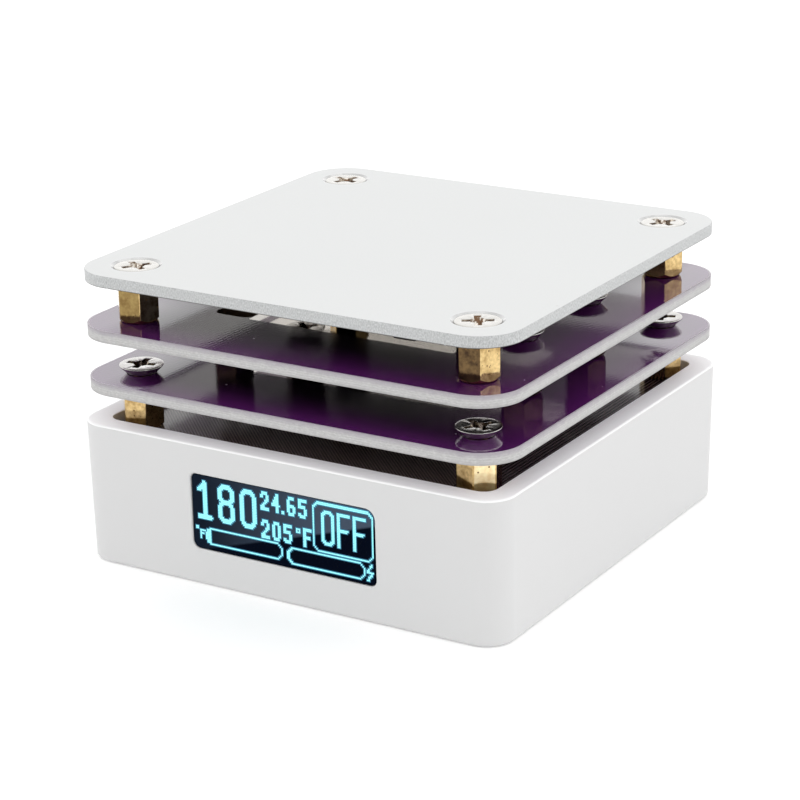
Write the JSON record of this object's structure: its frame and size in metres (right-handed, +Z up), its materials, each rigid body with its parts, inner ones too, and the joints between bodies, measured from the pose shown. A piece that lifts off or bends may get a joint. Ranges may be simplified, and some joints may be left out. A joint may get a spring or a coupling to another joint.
{
  "type": "pcb preheater",
  "caption": "Small square soldering hot plate: metal heating plate on brass standoffs over circuit-board heat shields and a plastic case with a display, side buttons and a power socket.",
  "frame": {"origin": "centre of the case's underside, on the surface that the object stands on", "axes": "+Z up, square to the heating plate; -Y is the front, with the display; the buttons are on -X and the power socket on +Y"},
  "size_m": [0.0605, 0.06, 0.0376],
  "materials": {
    "case_plastic": "matt white moulded plastic",
    "board_mask": "dark solder mask over copper tracks",
    "shield_mask": "glossy purple solder mask with bare routed edges",
    "plate_metal": "fine bead-blasted aluminium with milled edges",
    "brass": "turned hexagonal bar",
    "screw_metal": "bright nickel plating",
    "heater_foil": "etched resistance track",
    "display_glass": "dark display window with lit dots behind it",
    "black_resin": "moulded black resin",
    "flex_film": "amber film",
    "socket_steel": "drawn and tinned steel",
    "capacitor_can": "plain drawn aluminium",
    "button_plastic": "matt white moulded plastic",
    "plunger_plastic": "grey moulded plastic"
  },
  "bodies": {
    "base": {"base_case": "case_plastic", "base_screw_1": "screw_metal", "base_screw_2": "screw_metal", "base_screw_3": "screw_metal", "base_screw_4": "screw_metal", "control_board": "board_mask", "controller_chip": "black_resin", "display_flex": "flex_film", "display_lens": "display_glass", "display_panel": "black_resin", "heater_track": "heater_foil", "heating_plate": "plate_metal", "input_capacitor": "capacitor_can", "lower_corner_screw_1": "screw_metal", "lower_corner_screw_2": "screw_metal", "lower_corner_screw_3": "screw_metal", "lower_corner_screw_4": "screw_metal", "lower_middle_screw_1": "screw_metal", "lower_middle_screw_2": "screw_metal", "lower_middle_screw_3": "screw_metal", "lower_middle_screw_4": "screw_metal", "lower_shield": "shield_mask", "lower_standoff_1": "brass", "lower_standoff_2": "brass", "lower_standoff_3": "brass", "lower_standoff_4": "brass", "middle_standoff_1": "brass", "middle_standoff_2": "brass", "middle_standoff_3": "brass", "middle_standoff_4": "brass", "plate_screw_1": "screw_metal", "plate_screw_2": "screw_metal", "plate_screw_3": "screw_metal", "plate_screw_4": "screw_metal", "power_transistor": "black_resin", "switch_body_1": "black_resin", "switch_body_2": "black_resin", "switch_body_3": "black_resin", "thermistor": "black_resin", "upper_corner_screw_1": "screw_metal", "upper_corner_screw_2": "screw_metal", "upper_corner_screw_3": "screw_metal", "upper_corner_screw_4": "screw_metal", "upper_middle_screw_1": "screw_metal", "upper_middle_screw_2": "screw_metal", "upper_middle_screw_3": "screw_metal", "upper_middle_screw_4": "screw_metal", "upper_shield": "shield_mask", "upper_standoff_1": "brass", "upper_standoff_2": "brass", "upper_standoff_3": "brass", "upper_standoff_4": "brass", "usb_socket": "socket_steel"},
    "button_1": {"button_cap_1": "button_plastic", "switch_plunger_1": "plunger_plastic"},
    "button_2": {"button_cap_2": "button_plastic", "switch_plunger_2": "plunger_plastic"},
    "button_3": {"button_cap_3": "button_plastic", "switch_plunger_3": "plunger_plastic"}
  },
  "joints": [
    {"name": "button_1_press", "type": "slide", "parent": "base", "child": "button_1", "axis": [1, 0, 0], "range_m": [0, 0.0004], "stiffness_N_per_m": 4000},
    {"name": "button_2_press", "type": "slide", "parent": "base", "child": "button_2", "axis": [1, 0, 0], "range_m": [0, 0.0004], "stiffness_N_per_m": 4000},
    {"name": "button_3_press", "type": "slide", "parent": "base", "child": "button_3", "axis": [1, 0, 0], "range_m": [0, 0.0004], "stiffness_N_per_m": 4000}
  ]
}
